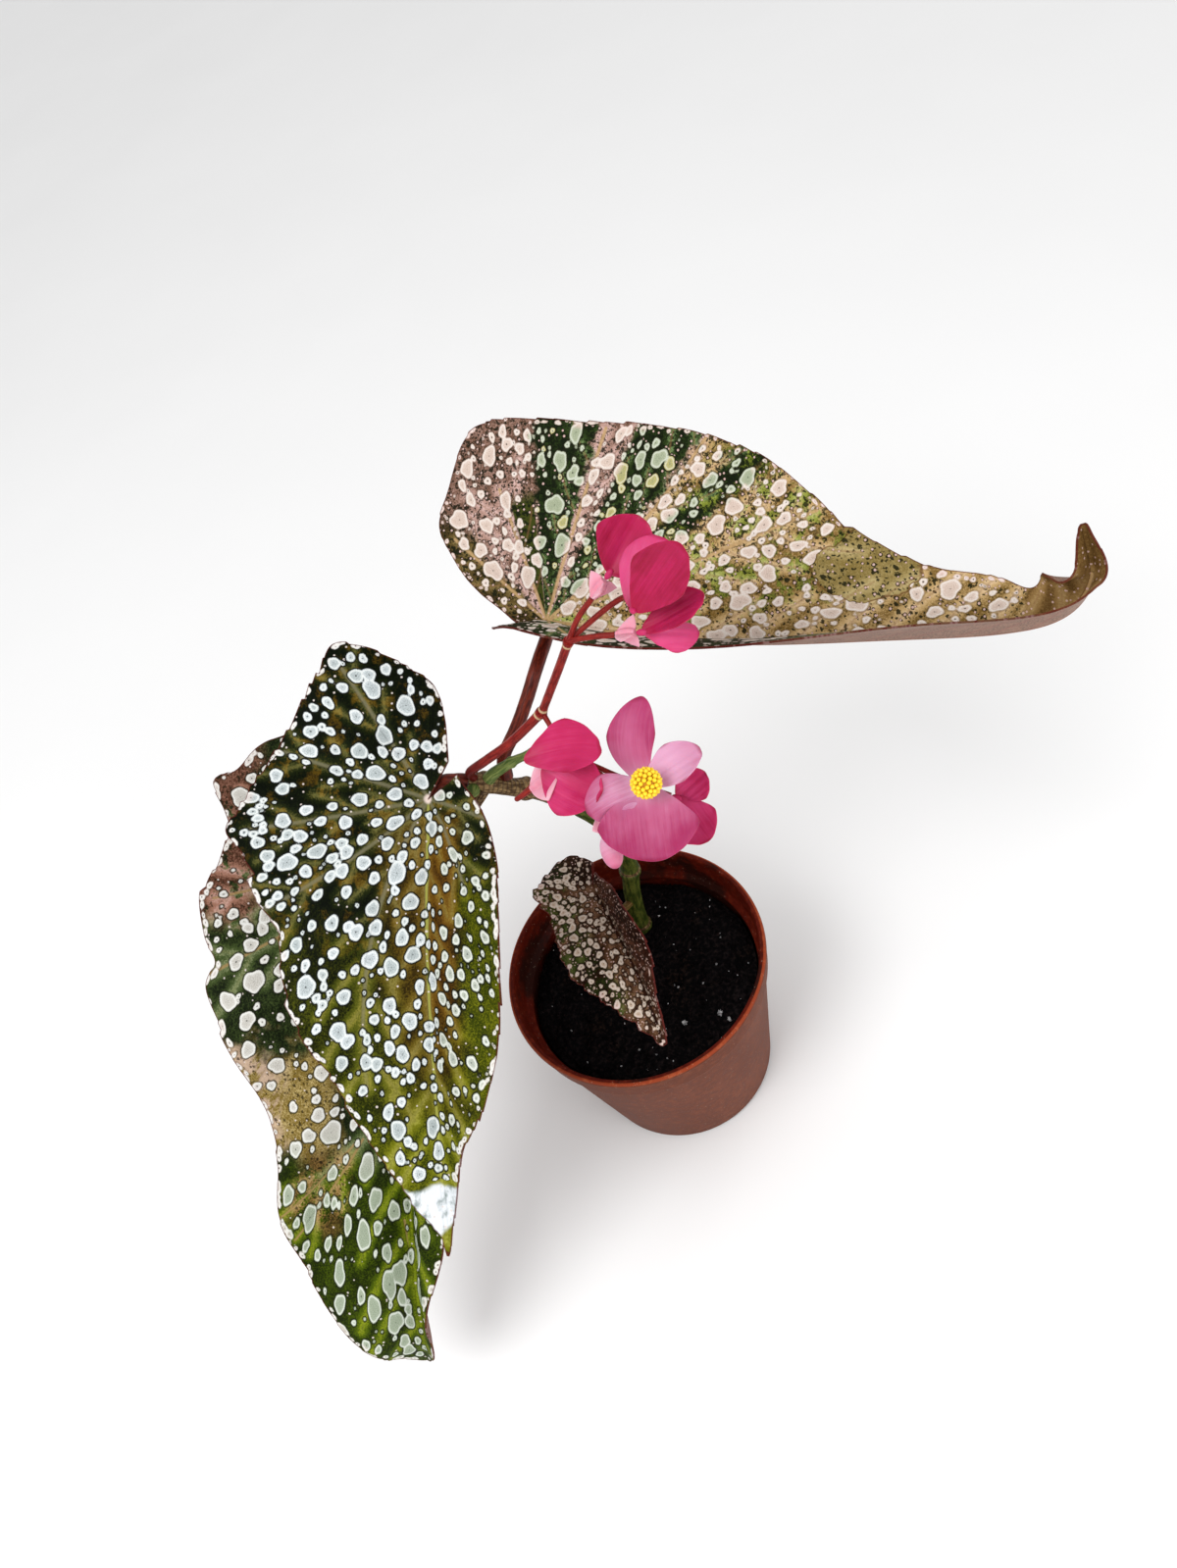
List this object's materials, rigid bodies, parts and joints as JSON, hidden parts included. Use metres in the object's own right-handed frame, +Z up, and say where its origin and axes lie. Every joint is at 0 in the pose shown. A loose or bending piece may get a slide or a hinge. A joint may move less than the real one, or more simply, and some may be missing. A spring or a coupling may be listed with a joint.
{
  "type": "potted begonia",
  "caption": "Cane begonia with spotted wing-shaped leaves and a branched stalk of pink blooms, growing from soil in a small round nursery pot.",
  "frame": {"origin": "centre of the pot's flat base, on the surface the pot stands on", "axes": "+Z up along the pot's axis, the cane rises at +Y of the axis and the two largest leaves hang towards -Y, with the folded leaf reaching towards +X"},
  "size_m": [0.2859, 0.1598, 0.2568],
  "materials": {
    "pot_plastic": "satin",
    "potting_soil": "matte",
    "cane_skin": "satin",
    "leaf_front_skin": "satin",
    "leaf_back_skin": "satin",
    "leaf_upper_skin": "satin",
    "leaf_small_skin": "satin",
    "leaf_stalk_skin": "satin",
    "stalk_small_skin": "satin",
    "flower_stalk_skin": "satin",
    "hot_tepal_skin": "satin",
    "soft_tepal_skin": "satin",
    "ovary_skin": "satin",
    "bud_skin": "gloss",
    "stamens_skin": "matte"
  },
  "bodies": {
    "root": {"pot": "pot_plastic", "soil": "potting_soil", "cane": "cane_skin", "leaf_front": "leaf_front_skin", "leaf_back": "leaf_back_skin", "leaf_upper": "leaf_upper_skin", "leaf_small": "leaf_small_skin", "stalk_front": "leaf_stalk_skin", "stalk_back": "leaf_stalk_skin", "stalk_upper": "leaf_stalk_skin", "stalk_small": "stalk_small_skin", "flower_stalks": "flower_stalk_skin", "bloom_a_tepals": "hot_tepal_skin", "bloom_b_tepals": "hot_tepal_skin", "bloom_c_tepals": "hot_tepal_skin", "bloom_d_tepals": "hot_tepal_skin", "bloom_f_tepals": "hot_tepal_skin", "bloom_e_tepals": "soft_tepal_skin", "bloom_a_ovary": "ovary_skin", "bloom_c_ovary": "ovary_skin", "bloom_d_ovary": "ovary_skin", "bloom_g_ovary": "ovary_skin", "bloom_g_bud": "bud_skin", "bloom_e_stamens": "stamens_skin"}
  },
  "joints": []
}
